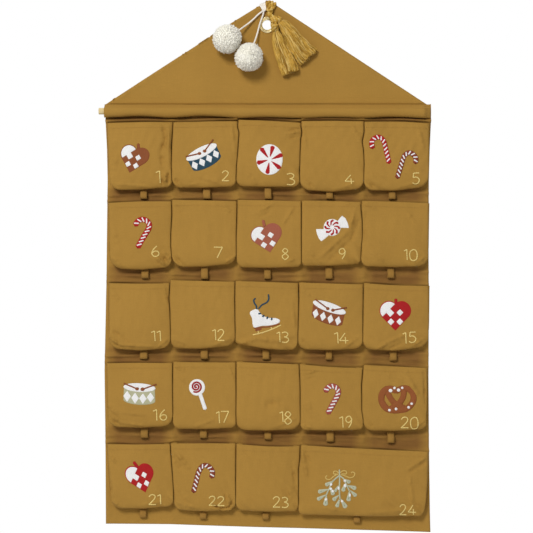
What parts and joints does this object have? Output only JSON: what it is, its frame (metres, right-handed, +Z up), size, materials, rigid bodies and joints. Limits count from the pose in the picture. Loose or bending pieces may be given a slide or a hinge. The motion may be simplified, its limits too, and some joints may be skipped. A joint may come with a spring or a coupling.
{
  "type": "embroidered cloth advent calendar",
  "caption": "Cloth wall hanging with a gabled top on a dowel, numbered bellows pockets with tape loops, embroidered motifs, pom-poms and tassels.",
  "frame": {"origin": "centre of the eyelet's hole, at the back face of the cloth, where the calendar hangs on its nail", "axes": "+Z up, -Y out of the wall towards the person in front, +X to the right as seen from the front"},
  "size_m": [0.608, 0.0529, 0.9647],
  "materials": {
    "cloth": "ochre canvas",
    "wood": "plain, sanded",
    "brass": "satin",
    "white_cord": "round cotton cord",
    "wool": "cut woollen yarn",
    "gold_yarn": "lustrous yarn"
  },
  "bodies": {
    "hanging": {"body_panel": "cloth", "gable_panel": "cloth", "eyelet": "brass", "cord_wrap": "white_cord", "yarn_wrap": "gold_yarn", "loop_01": "cloth", "loop_02": "cloth", "loop_03": "cloth", "loop_04": "cloth", "loop_05": "cloth", "loop_06": "cloth", "loop_07": "cloth", "loop_08": "cloth", "loop_09": "cloth", "loop_10": "cloth", "loop_11": "cloth", "loop_12": "cloth", "loop_13": "cloth", "loop_14": "cloth", "loop_15": "cloth", "loop_16": "cloth", "loop_17": "cloth", "loop_18": "cloth", "loop_19": "cloth", "loop_20": "cloth", "loop_21": "cloth", "loop_22": "cloth", "loop_23": "cloth", "loop_24": "cloth"},
    "dowel_rod": {"dowel": "wood"},
    "pocket_body_01": {"pocket_01": "cloth"},
    "pocket_body_02": {"pocket_02": "cloth"},
    "pocket_body_03": {"pocket_03": "cloth"},
    "pocket_body_04": {"pocket_04": "cloth"},
    "pocket_body_05": {"pocket_05": "cloth"},
    "pocket_body_06": {"pocket_06": "cloth"},
    "pocket_body_07": {"pocket_07": "cloth"},
    "pocket_body_08": {"pocket_08": "cloth"},
    "pocket_body_09": {"pocket_09": "cloth"},
    "pocket_body_10": {"pocket_10": "cloth"},
    "pocket_body_11": {"pocket_11": "cloth"},
    "pocket_body_12": {"pocket_12": "cloth"},
    "pocket_body_13": {"pocket_13": "cloth"},
    "pocket_body_14": {"pocket_14": "cloth"},
    "pocket_body_15": {"pocket_15": "cloth"},
    "pocket_body_16": {"pocket_16": "cloth"},
    "pocket_body_17": {"pocket_17": "cloth"},
    "pocket_body_18": {"pocket_18": "cloth"},
    "pocket_body_19": {"pocket_19": "cloth"},
    "pocket_body_20": {"pocket_20": "cloth"},
    "pocket_body_21": {"pocket_21": "cloth"},
    "pocket_body_22": {"pocket_22": "cloth"},
    "pocket_body_23": {"pocket_23": "cloth"},
    "pocket_body_24": {"pocket_24": "cloth"},
    "pompom_left_body": {"pompom_cord_left": "white_cord", "pompom_left": "wool"},
    "pompom_right_body": {"pompom_cord_right": "white_cord", "pompom_right": "wool"},
    "tassel_left_body": {"tassel_left": "gold_yarn"},
    "tassel_right_body": {"tassel_right": "gold_yarn"}
  },
  "joints": [
    {"name": "dowel_slide", "type": "slide", "parent": "hanging", "child": "dowel_rod", "axis": [-1, 0, 0], "range_m": [0, 0.59]},
    {"name": "pocket_01_mouth", "type": "hinge", "parent": "hanging", "child": "pocket_body_01", "pos_m": [-0.2348, -0.0199, -0.297], "axis": [1, 0, 0], "range_deg": [0, 12], "stiffness_Nm_per_rad": 0.02},
    {"name": "pocket_02_mouth", "type": "hinge", "parent": "hanging", "child": "pocket_body_02", "pos_m": [-0.1174, -0.0199, -0.297], "axis": [1, 0, 0], "range_deg": [0, 12], "stiffness_Nm_per_rad": 0.02},
    {"name": "pocket_03_mouth", "type": "hinge", "parent": "hanging", "child": "pocket_body_03", "pos_m": [0, -0.0199, -0.297], "axis": [1, 0, 0], "range_deg": [0, 12], "stiffness_Nm_per_rad": 0.02},
    {"name": "pocket_04_mouth", "type": "hinge", "parent": "hanging", "child": "pocket_body_04", "pos_m": [0.1174, -0.0199, -0.297], "axis": [1, 0, 0], "range_deg": [0, 12], "stiffness_Nm_per_rad": 0.02},
    {"name": "pocket_05_mouth", "type": "hinge", "parent": "hanging", "child": "pocket_body_05", "pos_m": [0.2348, -0.0199, -0.297], "axis": [1, 0, 0], "range_deg": [0, 12], "stiffness_Nm_per_rad": 0.02},
    {"name": "pocket_06_mouth", "type": "hinge", "parent": "hanging", "child": "pocket_body_06", "pos_m": [-0.2348, -0.0199, -0.4461], "axis": [1, 0, 0], "range_deg": [0, 12], "stiffness_Nm_per_rad": 0.02},
    {"name": "pocket_07_mouth", "type": "hinge", "parent": "hanging", "child": "pocket_body_07", "pos_m": [-0.1174, -0.0199, -0.4461], "axis": [1, 0, 0], "range_deg": [0, 12], "stiffness_Nm_per_rad": 0.02},
    {"name": "pocket_08_mouth", "type": "hinge", "parent": "hanging", "child": "pocket_body_08", "pos_m": [0, -0.0199, -0.4461], "axis": [1, 0, 0], "range_deg": [0, 12], "stiffness_Nm_per_rad": 0.02},
    {"name": "pocket_09_mouth", "type": "hinge", "parent": "hanging", "child": "pocket_body_09", "pos_m": [0.1174, -0.0199, -0.4461], "axis": [1, 0, 0], "range_deg": [0, 12], "stiffness_Nm_per_rad": 0.02},
    {"name": "pocket_10_mouth", "type": "hinge", "parent": "hanging", "child": "pocket_body_10", "pos_m": [0.2348, -0.0199, -0.4461], "axis": [1, 0, 0], "range_deg": [0, 12], "stiffness_Nm_per_rad": 0.02},
    {"name": "pocket_11_mouth", "type": "hinge", "parent": "hanging", "child": "pocket_body_11", "pos_m": [-0.2348, -0.0199, -0.5952], "axis": [1, 0, 0], "range_deg": [0, 12], "stiffness_Nm_per_rad": 0.02},
    {"name": "pocket_12_mouth", "type": "hinge", "parent": "hanging", "child": "pocket_body_12", "pos_m": [-0.1174, -0.0199, -0.5952], "axis": [1, 0, 0], "range_deg": [0, 12], "stiffness_Nm_per_rad": 0.02},
    {"name": "pocket_13_mouth", "type": "hinge", "parent": "hanging", "child": "pocket_body_13", "pos_m": [0, -0.0199, -0.5952], "axis": [1, 0, 0], "range_deg": [0, 12], "stiffness_Nm_per_rad": 0.02},
    {"name": "pocket_14_mouth", "type": "hinge", "parent": "hanging", "child": "pocket_body_14", "pos_m": [0.1174, -0.0199, -0.5952], "axis": [1, 0, 0], "range_deg": [0, 12], "stiffness_Nm_per_rad": 0.02},
    {"name": "pocket_15_mouth", "type": "hinge", "parent": "hanging", "child": "pocket_body_15", "pos_m": [0.2348, -0.0199, -0.5952], "axis": [1, 0, 0], "range_deg": [0, 12], "stiffness_Nm_per_rad": 0.02},
    {"name": "pocket_16_mouth", "type": "hinge", "parent": "hanging", "child": "pocket_body_16", "pos_m": [-0.2348, -0.0199, -0.7443], "axis": [1, 0, 0], "range_deg": [0, 12], "stiffness_Nm_per_rad": 0.02},
    {"name": "pocket_17_mouth", "type": "hinge", "parent": "hanging", "child": "pocket_body_17", "pos_m": [-0.1174, -0.0199, -0.7443], "axis": [1, 0, 0], "range_deg": [0, 12], "stiffness_Nm_per_rad": 0.02},
    {"name": "pocket_18_mouth", "type": "hinge", "parent": "hanging", "child": "pocket_body_18", "pos_m": [0, -0.0199, -0.7443], "axis": [1, 0, 0], "range_deg": [0, 12], "stiffness_Nm_per_rad": 0.02},
    {"name": "pocket_19_mouth", "type": "hinge", "parent": "hanging", "child": "pocket_body_19", "pos_m": [0.1174, -0.0199, -0.7443], "axis": [1, 0, 0], "range_deg": [0, 12], "stiffness_Nm_per_rad": 0.02},
    {"name": "pocket_20_mouth", "type": "hinge", "parent": "hanging", "child": "pocket_body_20", "pos_m": [0.2348, -0.0199, -0.7443], "axis": [1, 0, 0], "range_deg": [0, 12], "stiffness_Nm_per_rad": 0.02},
    {"name": "pocket_21_mouth", "type": "hinge", "parent": "hanging", "child": "pocket_body_21", "pos_m": [-0.2348, -0.0199, -0.8934], "axis": [1, 0, 0], "range_deg": [0, 12], "stiffness_Nm_per_rad": 0.02},
    {"name": "pocket_22_mouth", "type": "hinge", "parent": "hanging", "child": "pocket_body_22", "pos_m": [-0.1174, -0.0199, -0.8934], "axis": [1, 0, 0], "range_deg": [0, 12], "stiffness_Nm_per_rad": 0.02},
    {"name": "pocket_23_mouth", "type": "hinge", "parent": "hanging", "child": "pocket_body_23", "pos_m": [0, -0.0199, -0.8934], "axis": [1, 0, 0], "range_deg": [0, 12], "stiffness_Nm_per_rad": 0.02},
    {"name": "pocket_24_mouth", "type": "hinge", "parent": "hanging", "child": "pocket_body_24", "pos_m": [0.1761, -0.0199, -0.8934], "axis": [1, 0, 0], "range_deg": [0, 12], "stiffness_Nm_per_rad": 0.02},
    {"name": "pompom_left_swing", "type": "hinge", "parent": "hanging", "child": "pompom_left_body", "pos_m": [-0.0068, -0.0074, 0.0253], "axis": [-1, 0, 0], "range_deg": [0, 80]},
    {"name": "pompom_right_swing", "type": "hinge", "parent": "hanging", "child": "pompom_right_body", "pos_m": [-0.0068, -0.0074, 0.0253], "axis": [-1, 0, 0], "range_deg": [0, 80]},
    {"name": "tassel_left_swing", "type": "hinge", "parent": "hanging", "child": "tassel_left_body", "pos_m": [0.0143, -0.0136, -0.004], "axis": [-1, 0, 0], "range_deg": [0, 80]},
    {"name": "tassel_right_swing", "type": "hinge", "parent": "hanging", "child": "tassel_right_body", "pos_m": [0.0189, -0.0136, 0.0088], "axis": [-1, 0, 0], "range_deg": [0, 80]}
  ]
}
